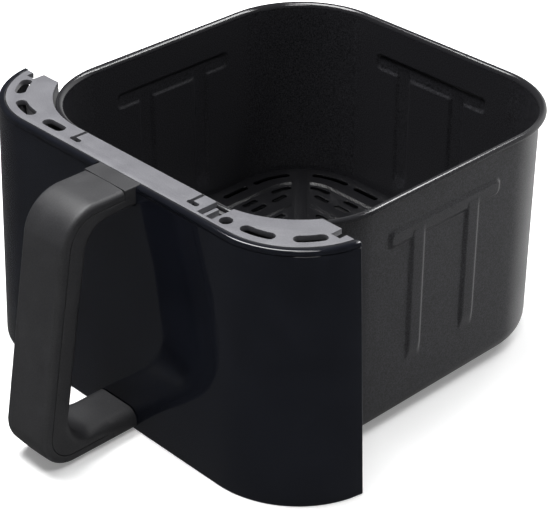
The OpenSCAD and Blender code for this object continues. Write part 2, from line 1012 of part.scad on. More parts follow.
// Four screws up through the base cover into the frame's flange
module base_screws() {
    color("dimgray")
        for (p = BASE_SCREWS) {
            translate([p[0], p[1], base_rise - base_head_h]) {
                cylinder(h = base_head_h, d = head_d);
                cylinder(h = base_head_h + base_screw_l, d = screw_d);
            }
        }
}

pan();
pan_bracket();
bracket_nuts();
crisper_plate();
for (side = [1:4]) plate_bumper(side);
front_shell();
gloss_skin();
top_trim();
switch_tab();
inner_frame();
heat_shield();
base_cover();
handle_inner();
handle_cover();
handle_backing_plate();
handle_top_screws();
handle_bottom_screws();
bracket_screws();
trim_screws();
base_screws();
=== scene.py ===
"""The removable drawer of an air fryer: a drawn steel pan on a moulded front with a loop handle."""

import bmesh
import bpy
import numpy as np
from mathutils import Matrix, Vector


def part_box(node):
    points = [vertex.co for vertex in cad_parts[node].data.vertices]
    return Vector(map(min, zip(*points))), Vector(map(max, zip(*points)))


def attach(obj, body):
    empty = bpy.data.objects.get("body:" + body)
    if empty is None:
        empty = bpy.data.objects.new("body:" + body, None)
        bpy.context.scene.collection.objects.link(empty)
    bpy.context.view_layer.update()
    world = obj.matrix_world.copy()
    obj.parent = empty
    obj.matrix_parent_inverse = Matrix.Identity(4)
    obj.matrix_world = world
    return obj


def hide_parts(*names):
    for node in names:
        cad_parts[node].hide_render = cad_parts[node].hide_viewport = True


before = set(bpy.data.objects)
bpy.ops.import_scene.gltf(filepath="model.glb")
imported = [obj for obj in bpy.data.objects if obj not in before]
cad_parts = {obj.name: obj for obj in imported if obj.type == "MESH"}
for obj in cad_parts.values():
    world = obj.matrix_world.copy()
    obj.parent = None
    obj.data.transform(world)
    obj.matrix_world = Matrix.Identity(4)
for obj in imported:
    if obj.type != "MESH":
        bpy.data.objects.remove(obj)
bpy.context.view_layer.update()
MM = 0.001


# ---- Pan -------------------------------------------------------------------------------
# One sheet of steel, deep drawn, with T-shaped beads pressed out of three walls to stiffen
# them. Its edge is rolled outwards into a rim, and a flat pad is pressed down in the floor.
# All of it is sprayed with black non-stick and baked.

rim_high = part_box("pan")[1]
rim_half = rim_high.x / MM
rim_top = rim_high.z / MM
rim_overhang = 3.8
rim_corner_r = 56.8
roll_r = 1.75
sheet = 1.0
wall_half = rim_half - rim_overhang
wall_corner_r = rim_corner_r - rim_overhang
floor_under = 3.5
floor_bend_r = 14.0
pad_half = 68.0
pad_corner_r = 30.0
pad_step_width = 4.0
pad_step_lead = 2.5
bead_height = 1.5
bar_half_length = 44.0
bar_width = 11.0
bar_middle_z = 121.3
bar_corner_r = 4.0
stem_offset = 21.5
stem_width = 12.0
bead_edge = 2.2
stem_low_z = 38.0
stem_fade = 12.0
stem_share = 0.85
bar_share = 0.78
bar_fade = 0.44


def square_ring(half, corner_r, fractions, corner_steps):
    """Points round rounded squares, one ring for each half width given.
    A side's point is (half, f (half - r)), and a corner's is the corner centre plus
    r (cos a, sin a), for a from 0 to 90 degrees; each side is turned by a quarter turn."""
    half = np.asarray(half, float)[:, None]
    corner_r = np.asarray(corner_r, float)[:, None]
    sides = []
    for side, f in enumerate(fractions):
        angle = np.linspace(0, np.pi / 2, corner_steps + 1)[1:-1]
        x = np.hstack([
            np.repeat(half, len(f), 1), half - corner_r + corner_r * np.cos(angle)])
        y = np.hstack([(half - corner_r) * f, half - corner_r + corner_r * np.sin(angle)])
        turn = side * np.pi / 2
        c, s = np.cos(turn), np.sin(turn)
        sides.append(np.stack([c * x - s * y, s * x + c * y], -1))
    return np.concatenate(sides, 1)


def smooth(t):
    """The S-curve 3t^2 - 2t^3, held at 0 and 1 outside."""
    t = np.clip(t, 0, 1)
    return t * t * (3 - 2 * t)


def bead_rise(along, z):
    """How far the wall is pressed out at a place on it: a level bar with rounded corners that
    fades towards its lower edge, joined with two upright stems that fade out at their foot.
    Each falls off to its edge as an S-curve of the distance inside its outline."""
    past_x = np.abs(along) - bar_half_length + bar_corner_r
    past_z = np.abs(z - bar_middle_z) - bar_width / 2 + bar_corner_r
    outside = np.hypot(np.clip(past_x, 0, None), np.clip(past_z, 0, None))
    inside = bar_corner_r - outside - np.minimum(np.maximum(past_x, past_z), 0)
    bar = smooth(inside / bead_edge)
    bar = bar * (bar_share + bar_fade * (z - bar_middle_z) / bar_width)
    across = np.abs(np.abs(along) - stem_offset)
    stem = smooth((stem_width / 2 - across) / bead_edge)
    stem = stem_share * stem * smooth((z - stem_low_z) / stem_fade) * (z < bar_middle_z)
    return bead_height * np.maximum(bar, stem)


def mesh_piece(name, grid, body):
    """A mesh from points[row, column, xyz] in millimetres: four neighbours are one face.
    The last column joins the first, and one face closes each end row. The faces are turned
    outwards by the sign of the volume that they close."""
    rows, columns = grid.shape[:2]
    index = np.arange(rows * columns).reshape(rows, columns)
    beside = np.roll(index, -1, 1)
    quads = np.stack([index[:-1], beside[:-1], beside[1:], index[1:]], -1).reshape(-1, 4)
    points = grid.reshape(-1, 3) * MM
    a, b, c, d = (points[quads[:, i]] for i in range(4))
    volume = np.sum(np.cross(c - a, d - b) * (a + b + c + d)) / 24
    faces = quads.tolist() + [index[0, ::-1].tolist(), index[-1].tolist()]
    if volume < 0:
        faces = [face[::-1] for face in faces]
    mesh = bpy.data.meshes.new(name)
    mesh.from_pydata(points.tolist(), [], faces)
    mesh.shade_smooth()
    mesh.set_sharp_from_angle(angle=np.radians(38))
    piece = bpy.data.objects.new(name, mesh)
    bpy.context.scene.collection.objects.link(piece)
    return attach(piece, body)


def arc(x, z, r, start, end, steps):
    """Points on a circle about (x, z), from one angle to another in degrees."""
    angle = np.radians(np.linspace(start, end, steps))
    return np.stack([x + r * np.cos(angle), z + r * np.sin(angle)], -1)


def pan_profile():
    """The sheet's section from the middle of the inside, over the rim, to the middle of the
    underside, as (half width, z, corner radius). Its points are closest where the stems fade
    out and across the bar, and the pad's step is an S-curve."""
    bend_x, bend_z = wall_half - floor_bend_r, floor_under + floor_bend_r
    floor_in = floor_under + sheet
    step = np.linspace(0, 1, 7)
    stem_z = stem_low_z + stem_fade
    bar_low_z, bar_high_z = 112.0, 128.0
    wall_z = np.concatenate([
        np.linspace(bend_z, stem_low_z - 2, 4)[1:],
        np.linspace(stem_low_z, stem_z + 2, 9),
        np.linspace(stem_z + 6, bar_low_z - 2, 12),
        np.linspace(bar_low_z, bar_high_z, 30),
        np.linspace(bar_high_z + 2, rim_top - 5, 5),
    ])
    wall = np.stack([np.full_like(wall_z, wall_half), wall_z], -1)
    roll_x, roll_z = rim_half - roll_r, rim_top - roll_r
    turn_r = rim_overhang + sheet - roll_r
    pad_x = np.array([3.0, 30.0, pad_half - 4])
    floor_x = np.array([pad_half + 5, bend_x - 8])
    step_x = pad_step_width * step - pad_step_lead
    inside = np.concatenate([
        np.stack([pad_x, np.full(3, sheet)], -1),
        np.stack([pad_half + step_x, sheet + (floor_in - sheet) * smooth(step)], -1),
        np.stack([floor_x, np.full(2, floor_in)], -1),
        arc(bend_x, bend_z, floor_bend_r - sheet, -90, 0, 12),
        wall - [sheet, 0],
        arc(roll_x, rim_top - turn_r, turn_r, 180, 96, 10),
    ])
    roll = arc(roll_x, roll_z, roll_r, 84, -172, 26)
    outside = np.concatenate([
        [[wall_half, rim_top - 3.2]],
        wall[::-1],
        arc(bend_x, bend_z, floor_bend_r, 0, -90, 12),
        np.stack([floor_x[::-1], np.full(2, floor_under)], -1),
        np.stack([pad_half - step_x, floor_under * (1 - smooth(step))], -1),
        np.stack([pad_x[::-1], np.zeros(3)], -1),
    ])
    line = np.concatenate([inside, roll, outside])
    in_pad = np.clip((line[:, 0] - pad_half) / (bend_x - pad_half), 0, 1)
    bend_corner = wall_corner_r - floor_bend_r
    pad_part = pad_corner_r * np.clip(line[:, 0] / pad_half, 0, 1)
    floor_part = pad_corner_r + (bend_corner - pad_corner_r) * in_pad
    wall_part = wall_corner_r - wall_half + line[:, 0]
    corner = np.where(line[:, 0] < pad_half, pad_part, floor_part)
    corner = np.where(line[:, 0] > bend_x, wall_part, corner)
    return np.column_stack([line, corner])


def drawn_pan():
    """The section carried round the rounded square. Where it passes one of the three walls
    with beads, its points move straight outwards by the beads' height there."""
    profile = pan_profile()
    fine = np.concatenate([[-1], np.linspace(-0.85, 0.85, 125), [1]])
    plain = np.linspace(-1, 1, 15)
    fractions = [fine, fine, fine, plain]
    ring = square_ring(profile[:, 0], profile[:, 2], fractions, 22)
    z = np.repeat(profile[:, 1:2], ring.shape[1], 1)
    straight = wall_half - wall_corner_r
    on_wall = np.abs(profile[:, 0:1] - wall_half + sheet / 2) < sheet
    for x, y in [(1, 0), (0, 1), (-1, 0)]:
        out = ring[..., 0] * x + ring[..., 1] * y
        along = ring[..., 0] * y - ring[..., 1] * x
        facing = (out > wall_half - 2 * sheet) & (np.abs(along) < straight) & on_wall
        rise = np.where(facing, bead_rise(along, z), 0)
        ring = ring + rise[..., None] * np.array([x, y])
    return np.dstack([ring, z])


def colour(code):
    """The linear colour of an sRGB hex value."""
    value = np.array([int(code[i : i + 2], 16) / 255 for i in (1, 3, 5)])
    linear = np.where(value <= 0.04045, value / 12.92, ((value + 0.055) / 1.055) ** 2.4)
    return (*linear, 1.0)


def add(tree, kind, settings, sockets):
    """Adds a node: settings are its own values, sockets are values or the outputs to link."""
    node = tree.nodes.new("ShaderNode" + kind)
    for key, value in settings.items():
        setattr(node, key, value)
    for key, value in sockets.items():
        if isinstance(value, bpy.types.NodeSocket):
            tree.links.new(value, node.inputs[key])
        else:
            node.inputs[key].default_value = value
    return node


def new_material(name):
    """An empty material with its nodes, and the piece's own coordinates for its patterns."""
    material = bpy.data.materials.new(name)
    material.use_nodes = True
    material.node_tree.nodes.clear()
    place = add(material.node_tree, "TexCoord", {}, {}).outputs["Object"]
    return material, material.node_tree, place


def baked_nonstick():
    """Sprayed PTFE on steel, baked: a satin film with a fine orange peel and small flecks
    that catch the light. The flecks are 0.1 mm on the pan, drawn at 0.7 mm to show. The film
    runs together on the rolled rim, and hands rub it there, so it is smoother. The rim's even
    dark grey in place of the flecks is a painted sheen."""
    material, tree, place = new_material("baked_nonstick_coating")
    flecks = add(tree, "TexNoise", {}, {"Vector": place, "Scale": 1 / (0.7 * MM), "Detail": 3})
    film = add(tree, "TexNoise", {}, {"Vector": place, "Scale": 1 / (38 * MM), "Detail": 3})
    shade = add(tree, "ValToRGB", {}, {"Fac": flecks.outputs["Fac"]})
    shade.color_ramp.elements[0].position = 0.35
    shade.color_ramp.elements[0].color = colour("#0c0c0e")
    shade.color_ramp.elements[1].position = 0.7
    shade.color_ramp.elements[1].color = colour("#39393d")
    worn = add(tree, "MapRange", {}, {
        "Value": film.outputs["Fac"], "From Min": 0.3, "From Max": 0.7,
        "To Min": 0.31, "To Max": 0.4})
    height = add(tree, "SeparateXYZ", {}, {"Vector": place}).outputs["Z"]
    rim_wear_and_painted_sheen = add(tree, "MapRange", {}, {
        "Value": height, "From Min": (rim_top - 4) * MM, "From Max": (rim_top - 1.5) * MM})
    # Painted sheen: on the rolled rim an even dark grey replaces the flecks; only its smoother
    # roughness comes from the rubbed film.
    edge = add(tree, "Mix", {"data_type": "RGBA"}, {
        0: rim_wear_and_painted_sheen.outputs["Result"], 6: shade.outputs["Color"], 7: colour("#1e1e20")})
    sheen = add(tree, "Mix", {"data_type": "FLOAT"}, {
        0: rim_wear_and_painted_sheen.outputs["Result"], 2: worn.outputs["Result"], 3: 0.1})
    peel = add(tree, "Bump", {}, {
        "Height": flecks.outputs["Fac"], "Strength": 0.5, "Distance": 0.1 * MM})
    shader = add(tree, "BsdfPrincipled", {}, {
        "Base Color": edge.outputs[2], "Roughness": sheen.outputs[0],
        "Normal": peel.outputs["Normal"], "Metallic": 0.0, "IOR": 1.38,
        "Specular IOR Level": 0.75})
    add(tree, "OutputMaterial", {}, {"Surface": shader.outputs["BSDF"]})
    return material


nonstick = baked_nonstick()
pan = mesh_piece("drawn_pan", drawn_pan(), "drawer")
pan.data.materials.append(nonstick)
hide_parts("pan")


# ---- Crisper plate ---------------------------------------------------------------------
# A pressed plate with rings of slots and low ribs that lifts food off the pan's floor. It
# stands on four legs. Its slots are punched, so their edges are slightly rolled over.


def rounded_copy(node, name, body, width, steps=2):
    """A copy of a CAD node with its points merged and its flat faces joined up, whose edges
    are rounded by a Bevel of that width in millimetres."""
    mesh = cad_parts[node].data.copy()
    mesh.name = name
    mesh.materials.clear()
    shape = bmesh.new()
    shape.from_mesh(mesh)
    bmesh.ops.remove_doubles(shape, verts=shape.verts, dist=0.002 * MM)
    bmesh.ops.dissolve_limit(
        shape, angle_limit=np.radians(0.6), verts=shape.verts, edges=shape.edges)
    shape.to_mesh(mesh)
    shape.free()
    mesh.shade_smooth()
    piece = bpy.data.objects.new(name, mesh)
    bpy.context.scene.collection.objects.link(piece)
    edge = piece.modifiers.new("rounded_edges", "BEVEL")
    edge.width = width * MM
    edge.segments = steps
    edge.limit_method = "ANGLE"
    edge.angle_limit = np.radians(32)
    edge.harden_normals = True
    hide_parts(node)
    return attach(piece, body)


def glossy_nonstick():
    """The plate's own coat of non-stick is thicker and glossier, with a pebbled surface that
    breaks the light up into sparks. The pebbles are 1 mm, as they are drawn."""
    material, tree, place = new_material("glossy_nonstick_coating")
    pebbles = add(tree, "TexNoise", {}, {"Vector": place, "Scale": 1 / (1.0 * MM), "Detail": 3})
    shade = add(tree, "ValToRGB", {}, {"Fac": pebbles.outputs["Fac"]})
    shade.color_ramp.elements[0].color = colour("#08080a")
    shade.color_ramp.elements[1].color = colour("#1c1c1e")
    worn = add(tree, "MapRange", {}, {
        "Value": pebbles.outputs["Fac"], "To Min": 0.1, "To Max": 0.26})
    skin = add(tree, "Bump", {}, {
        "Height": pebbles.outputs["Fac"], "Strength": 1.0, "Distance": 0.35 * MM})
    shader = add(tree, "BsdfPrincipled", {}, {
        "Base Color": shade.outputs["Color"], "Roughness": worn.outputs["Result"],
        "Normal": skin.outputs["Normal"], "IOR": 1.4, "Specular IOR Level": 0.55})
    add(tree, "OutputMaterial", {}, {"Surface": shader.outputs["BSDF"]})
    return material


plate = rounded_copy("crisper_plate", "pressed_crisper_plate", "plate", 0.5, 3)
plate.data.materials.append(glossy_nonstick())


# ---- Bumpers ---------------------------------------------------------------------------
# Four strips of silicone rubber, clipped over the plate's turned-down edge, keep the plate
# from scratching the pan and hold it still.


def moulded(name, dark, light, grain, rough, depth, ior=1.5, level=0.5):
    """A moulded plastic or rubber, as its tool left it: its grain is a texture of that size
    in millimetres, and it is mottled a little from dark to light over 12 mm."""
    material, tree, place = new_material(name)
    texture = add(tree, "TexNoise", {}, {"Vector": place, "Scale": 1 / (grain * MM), "Detail": 3})
    mottle = add(tree, "TexNoise", {}, {"Vector": place, "Scale": 1 / (12 * MM), "Detail": 4})
    both = add(tree, "Math", {"operation": "MULTIPLY_ADD"}, {
        0: mottle.outputs["Fac"], 1: 0.3, 2: texture.outputs["Fac"]})
    shade = add(tree, "ValToRGB", {}, {"Fac": both.outputs["Value"]})
    shade.color_ramp.elements[0].position = 0.45
    shade.color_ramp.elements[0].color = colour(dark)
    shade.color_ramp.elements[1].position = 0.85
    shade.color_ramp.elements[1].color = colour(light)
    worn = add(tree, "MapRange", {}, {
        "Value": mottle.outputs["Fac"], "From Min": 0.3, "From Max": 0.7,
        "To Min": rough - 0.04, "To Max": rough + 0.05})
    bump = add(tree, "Bump", {}, {
        "Height": texture.outputs["Fac"], "Strength": 0.35, "Distance": depth * MM})
    shader = add(tree, "BsdfPrincipled", {}, {
        "Base Color": shade.outputs["Color"], "Roughness": worn.outputs["Result"],
        "Normal": bump.outputs["Normal"], "IOR": ior, "Specular IOR Level": level})
    add(tree, "OutputMaterial", {}, {"Surface": shader.outputs["BSDF"]})
    return material


silicone = moulded("moulded_silicone_rubber", "#29292b", "#3b3b3d", 0.4, 0.6, 0.03, 1.41)
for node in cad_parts:
    if node.startswith("plate_bumper"):
        bumper = rounded_copy(node, "silicone_" + node, "plate", 0.5, 3)
        bumper.data.materials.append(silicone)


# ---- Moulded front ---------------------------------------------------------------------
# A U-shaped wall of black ABS. Its polished lip stands above a separate gloss skin that is
# glued to its face, so that a fine dark line runs round under the lip.

front_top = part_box("front_shell")[1].z / MM
front_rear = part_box("front_shell")[1].y / MM
flare = 6.0
side_gap = 21.3
front_half_top = rim_half + side_gap
front_face_top = -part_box("gloss_skin")[0].y / MM - flare
front_corner_r = 52.4
front_sheet = 3.6
skin_sheet = 1.6
lip_height = 2.8
skin_gap = 0.3
glue = 0.1
rear_round = 0.5
lip_back_r = 0.5
lip_face_r = 1.5
lip_under_r = 0.3
skin_top_r = 0.5
skin_foot_r = 0.7
skin_foot_lift = 0.5
arm_height = 11.7
notch_half = 17.0
notch_room = 0.5
notch_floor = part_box("handle_inner")[1].z / MM - arm_height - notch_room


def carried_front(profile):
    """A closed section, as distance outwards and z, carried along the front: a corner whose
    turn starts where it meets the rear plane, the face, and the same mirrored. Near a rear
    edge the section shrinks by r (1 - sin a) while the plane moves in by r (1 - cos a).
    It is lowered to the notch's floor where the handle passes through."""
    line = np.asarray(profile, float)
    ahead, behind = np.roll(line, -1, 0) - line, line - np.roll(line, 1, 0)
    ahead /= np.linalg.norm(ahead, axis=1, keepdims=True)
    behind /= np.linalg.norm(behind, axis=1, keepdims=True)
    normal = np.stack([(ahead + behind)[:, 1], -(ahead + behind)[:, 0]], -1)
    normal /= np.linalg.norm(normal, axis=1, keepdims=True)
    area = np.sum(line[:, 0] * np.roll(line[:, 1], -1) - line[:, 1] * np.roll(line[:, 0], -1))
    closing = np.radians(np.linspace(0, 90, 5))
    turn = np.radians(np.linspace(16, 90, 38))
    corner_x, corner_y = front_half_top - front_corner_r, front_corner_r - front_face_top
    face_x = np.concatenate([np.linspace(-corner_x, -notch_half, 10)[1:], [-notch_half, 0]])
    bend_count = len(closing) + len(turn)
    shrink = np.zeros(bend_count + len(face_x))
    shrink[:len(closing)] = rear_round * (1 - np.sin(closing))
    section = line[None] - shrink[:, None, None] * (normal * np.sign(area))[None]
    r = front_corner_r + section[:bend_count, :, 0]
    rear = front_rear - rear_round * (1 - np.cos(closing))
    angle = np.arcsin((corner_y - rear[:, None]) / r[:len(closing)])
    angle = np.concatenate([angle, np.repeat(turn[:, None], len(line), 1)])
    bend = np.stack([-corner_x - r * np.cos(angle), corner_y - r * np.sin(angle)], -1)
    out = section[bend_count:, :, 0]
    face = np.stack([np.repeat(face_x[:, None], len(line), 1), -front_face_top - out], -1)
    z = section[..., 1].copy()
    z[-2:] = np.minimum(z[-2:], notch_floor)
    left = np.dstack([np.concatenate([bend, face]), z])
    return np.concatenate([left, left[-2::-1] * np.array([-1, 1, 1])])


def lip_profile():
    """The front's own section: inner face, lip with a rounded outer edge, step for the skin."""
    back = skin_sheet + glue
    z_lip = front_top - lip_height
    out_lip = flare * lip_height / front_top
    return np.concatenate([
        [[flare - front_sheet, 0.0], [flare * 0.5 - front_sheet, front_top / 2]],
        arc(lip_back_r - front_sheet, front_top - lip_back_r, lip_back_r, 180, 90, 5),
        arc(-lip_face_r, front_top - lip_face_r, lip_face_r, 90, 4, 9),
        arc(out_lip - lip_under_r, z_lip + lip_under_r, lip_under_r, 0, -90, 4),
        [[out_lip - back, z_lip], [flare - back, 0.0]],
    ])


def skin_profile():
    """The gloss skin's section: its upper outer edge is rounded, and its foot a little more.
    Its back starts a little above its foot, which leaves a bevel there."""
    top = front_top - lip_height - skin_gap
    out_top = flare * (front_top - top) / front_top
    return np.concatenate([
        [[flare - skin_sheet, skin_foot_lift], [out_top - skin_sheet, top - 0.1]],
        arc(out_top - skin_top_r - 0.05, top - skin_top_r, skin_top_r, 90, 2, 6),
        [[flare * 0.25, front_top * 0.75], [flare * 0.5, front_top * 0.5]],
        [[flare * 0.75, front_top * 0.25]],
        arc(flare - skin_foot_r, skin_foot_r, skin_foot_r, 0, -90, 6),
    ])


def polished_abs():
    """Black ABS from a mirror-polished tool: near black, with a sharp reflection. Handling
    leaves very light smears, 25 mm across, which only show in the roughness."""
    material, tree, place = new_material("polished_black_abs")
    smears = add(tree, "TexNoise", {}, {
        "Vector": place, "Scale": 1 / (25 * MM), "Detail": 5, "Distortion": 0.6})
    flow = add(tree, "TexNoise", {}, {"Vector": place, "Scale": 1 / (60 * MM), "Detail": 1})
    shade = add(tree, "ValToRGB", {}, {"Fac": smears.outputs["Fac"]})
    shade.color_ramp.elements[0].color = colour("#090a0e")
    shade.color_ramp.elements[1].color = colour("#13151c")
    worn = add(tree, "MapRange", {}, {
        "Value": smears.outputs["Fac"], "From Min": 0.35, "From Max": 0.75,
        "To Min": 0.045, "To Max": 0.12})
    sink = add(tree, "Bump", {}, {
        "Height": flow.outputs["Fac"], "Strength": 0.08, "Distance": 0.4 * MM})
    shader = add(tree, "BsdfPrincipled", {}, {
        "Base Color": shade.outputs["Color"], "Roughness": worn.outputs["Result"],
        "Normal": sink.outputs["Normal"], "IOR": 1.5, "Specular IOR Level": 0.45})
    add(tree, "OutputMaterial", {}, {"Surface": shader.outputs["BSDF"]})
    return material


gloss_black = polished_abs()
shell = mesh_piece("moulded_front_shell", carried_front(lip_profile()), "drawer")
skin = mesh_piece("glued_gloss_skin", carried_front(skin_profile()), "drawer")
for piece, node in ((shell, "front_shell"), (skin, "gloss_skin")):
    piece.data.materials.append(gloss_black)
    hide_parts(node)


# ---- Trim and switch tab ---------------------------------------------------------------
# A grey polypropylene ring closes the top between the lip and the pan. Its slots let hot
# air out. Beside the handle an upright tab works the appliance's door switch.

grey_plastic = moulded("moulded_grey_polypropylene", "#505054", "#67676b", 0.6, 0.42, 0.03)
for node, name in (("top_trim", "moulded_top_trim"), ("switch_tab", "moulded_switch_tab")):
    piece = rounded_copy(node, name, "drawer", 0.45, 3)
    piece.data.materials.append(grey_plastic)


# ---- Handle ----------------------------------------------------------------------------
# A loop in two hollow halves of textured black ABS. The inner half is rooted in the front,
# and the outer half is a cover that hides its screws; a fine seam runs between them.

handle_low, handle_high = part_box("handle_inner")
handle_width = (handle_high.x - handle_low.x) / MM
grip_reach = 45.0
grip_lean = np.radians(10.5)
grip_depth = 17.8
handle_under = handle_low.z / MM
cover_depth = 5.6
cover_top_gap = 7.0
cover_low_gap = 22.5
seam = 0.3
bend_top_r = 25.0
bend_low_r = 19.6
opening_r = 16.0
cover_edge_r = 2.6
cover_crown = 0.5
seam_edge_r = 0.35
opening_edge_r = (3.2, 6.5)
root_start = -3.75
root_edge_r = 0.8
foot_edge_r = 3.4


def loop_line(top, low, r_top, r_low, depth, start, end, steps):
    """One side of the loop as (distance outwards from the front, z) with its outward
    directions: top arm, bend, leaning grip, bend and bottom arm, each evenly stepped."""
    lean = np.tan(grip_lean)
    reach_top = grip_reach - depth + lean * (front_top - top)
    reach_low = grip_reach - depth + lean * (front_top - low)
    x_top = reach_top - r_top * np.tan((np.pi / 2 - grip_lean) / 2)
    x_low = reach_low - r_low * np.tan((np.pi / 2 + grip_lean) / 2)
    upper = np.linspace(np.pi / 2, grip_lean, steps[1])[1:-1]
    lower = np.linspace(grip_lean, -np.pi / 2, steps[3])[1:-1]
    on_top = np.array([x_top, top - r_top])
    on_low = np.array([x_low, low + r_low])
    out = np.array([np.cos(grip_lean), np.sin(grip_lean)])
    t = np.linspace(0, 1, steps[2])[:, None]
    line = np.concatenate([
        np.stack([np.linspace(start, x_top, steps[0]), np.full(steps[0], top)], -1),
        on_top + r_top * np.stack([np.cos(upper), np.sin(upper)], -1),
        (on_top + r_top * out) * (1 - t) + (on_low + r_low * out) * t,
        on_low + r_low * np.stack([np.cos(lower), np.sin(lower)], -1),
        np.stack([np.linspace(x_low, end, steps[4]), np.full(steps[4], low)], -1),
    ])
    facing = np.concatenate([
        np.repeat([[0.0, 1.0]], steps[0], 0),
        np.stack([np.cos(upper), np.sin(upper)], -1),
        np.repeat([out], steps[2], 0),
        np.stack([np.cos(lower), np.sin(lower)], -1),
        np.repeat([[0.0, -1.0]], steps[4], 0),
    ])
    return line, facing


def loop_section(outer, inner, r_outer, r_inner, crown):
    """Rounded rectangles across the handle's width, one for each pair of outer and inner
    points. Its corners are quarter circles of those radii, and its outer face is crowned."""
    depth = np.linalg.norm(inner - outer, axis=1)[:, None]
    down = (inner - outer) / depth
    angle = np.radians(np.linspace(0, 90, 9))
    r_o, r_i = r_outer[:, None], r_inner[:, None]
    half = handle_width / 2
    flat = np.linspace(0, 1, 5)[:-1]
    x = np.hstack([
        (half - r_o) * flat,
        half - r_o + r_o * np.sin(angle),
        half - r_i + r_i * np.cos(angle),
        (half - r_i) * flat[::-1],
    ])
    w = np.hstack([
        np.zeros((len(outer), len(flat))),
        r_o * (1 - np.cos(angle)),
        depth - r_i * (1 - np.sin(angle)),
        np.repeat(depth, len(flat), 1),
    ])
    w = w + crown * (x / half) ** 2 * (w < depth / 2)
    x = np.hstack([x, -x[:, -2:0:-1]])
    w = np.hstack([w, w[:, -2:0:-1]])
    flat_points = outer[:, None] + down[:, None] * w[..., None]
    return np.dstack([x, -front_face_top - flat_points[..., 0], flat_points[..., 1]])


def swell(amount, position, start, end):
    """A value that goes from the first amount to the second along the loop, as an S-curve."""
    return amount[0] + (amount[1] - amount[0]) * smooth((position - start) / (end - start))


def handle_halves():
    """Both halves: the cover follows the outside to its depth, and the inner half fills the
    rest, out to the full outline at its root and at its foot."""
    steps = (12, 22, 12, 22, 12)
    outer, facing = loop_line(
        front_top, handle_under, bend_top_r, bend_low_r, 0.0, cover_top_gap, cover_low_gap,
        steps)
    inner, _ = loop_line(
        front_top - arm_height, handle_under + arm_height, opening_r, opening_r, grip_depth,
        cover_top_gap, cover_low_gap, steps)
    count = len(outer)
    place = np.linspace(0, 1, count)
    seam_edge = np.full(count, seam_edge_r)
    cover = loop_section(
        outer, outer - facing * cover_depth, np.full(count, cover_edge_r), seam_edge,
        cover_crown)
    back = outer - facing * (cover_depth + seam)
    main = loop_section(
        back, inner, seam_edge, swell(opening_edge_r, place, 0.1, 0.95), 0.0)
    root_x = np.array([root_start, -1.5, 2.0, cover_top_gap - seam])
    root_outer = np.stack([root_x, np.full(4, front_top)], -1)
    root = loop_section(
        root_outer, root_outer - [0, arm_height], np.full(4, root_edge_r),
        np.full(4, opening_edge_r[0]), 0.0)
    foot_x = np.array([cover_low_gap - seam, 16.0, 10.0, flare])
    foot_outer = np.stack([foot_x, np.full(4, handle_under)], -1)
    foot = loop_section(
        foot_outer, foot_outer + [0, arm_height], np.full(4, foot_edge_r),
        np.full(4, opening_edge_r[1]), 0.0)
    # The inner half steps in where the cover begins and ends.
    step_top = main[:1].copy()
    step_top[..., 1] = root[-1, 0, 1]
    step_low = main[-1:].copy()
    step_low[..., 1] = foot[0, 0, 1]
    return cover, np.concatenate([root, step_top, main, step_low, foot])


handle_plastic = moulded("textured_black_abs", "#202022", "#2f2f31", 0.7, 0.5, 0.05, level=0.38)
cover_grid, inner_grid = handle_halves()
handle_cover = mesh_piece("handle_outer_cover", cover_grid, "drawer")
handle_inner = mesh_piece("handle_inner_half", inner_grid, "drawer")
for piece, node in ((handle_cover, "handle_cover"), (handle_inner, "handle_inner")):
    piece.data.materials.append(handle_plastic)
    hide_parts(node)


# ---- Frame, base cover and metal parts -------------------------------------------------
# Black glass-filled nylon carries the pan and the front. The bracket, backing plate, nuts
# and screws are zinc-plated steel, and a bright aluminium sheet keeps the heat off.


def bright_metal(name, base, rough, streak):
    """Sheet or turned metal: rolled or turned marks run along X, streak millimetres apart,
    and the plating is slightly cloudy."""
    material, tree, place = new_material(name)
    stretched = add(tree, "Mapping", {}, {"Vector": place, "Scale": (0.05, 1.0, 1.0)})
    marks = add(tree, "TexNoise", {}, {
        "Vector": stretched.outputs["Vector"], "Scale": 1 / (streak * MM), "Detail": 4})
    cloud = add(tree, "TexNoise", {}, {"Vector": place, "Scale": 1 / (9 * MM), "Detail": 3})
    shade = add(tree, "ValToRGB", {}, {"Fac": cloud.outputs["Fac"]})
    shade.color_ramp.elements[0].color = colour(base[0])
    shade.color_ramp.elements[1].color = colour(base[1])
    worn = add(tree, "MapRange", {}, {
        "Value": marks.outputs["Fac"], "To Min": rough - 0.08, "To Max": rough + 0.1})
    bump = add(tree, "Bump", {}, {
        "Height": marks.outputs["Fac"], "Strength": 0.2, "Distance": 0.03 * MM})
    shader = add(tree, "BsdfPrincipled", {}, {
        "Base Color": shade.outputs["Color"], "Roughness": worn.outputs["Result"],
        "Normal": bump.outputs["Normal"], "Metallic": 1.0})
    add(tree, "OutputMaterial", {}, {"Surface": shader.outputs["BSDF"]})
    return material


frame_plastic = moulded("glass_filled_nylon", "#252527", "#343436", 0.6, 0.5, 0.03)
zinc = bright_metal("zinc_plated_steel", ("#a8a9ad", "#c9cacd"), 0.34, 0.6)
aluminium = bright_metal("bright_rolled_aluminium", ("#c2c3c6", "#dedfe1"), 0.28, 0.8)
for node, material, slot_name, width in (
    ("inner_frame", frame_plastic, "frame_plastic", 0.3),
    ("base_cover", frame_plastic, "frame_plastic", 0.4),
    ("pan_bracket", zinc, "zinc_steel", 0.2),
    ("bracket_nuts", zinc, "zinc_steel", 0.3),
    ("handle_backing_plate", zinc, "zinc_steel", 0.2),
    ("handle_top_screws", zinc, "zinc_steel", 0.3),
    ("handle_bottom_screws", zinc, "zinc_steel", 0.3),
    ("bracket_screws", zinc, "zinc_steel", 0.3),
    ("trim_screws", zinc, "zinc_steel", 0.3),
    ("base_screws", zinc, "zinc_steel", 0.3),
    ("heat_shield", aluminium, "shield_metal", 0.12),
):
    piece = rounded_copy(node, "finished_" + node, "drawer", width)
    piece.data.materials.append(material)


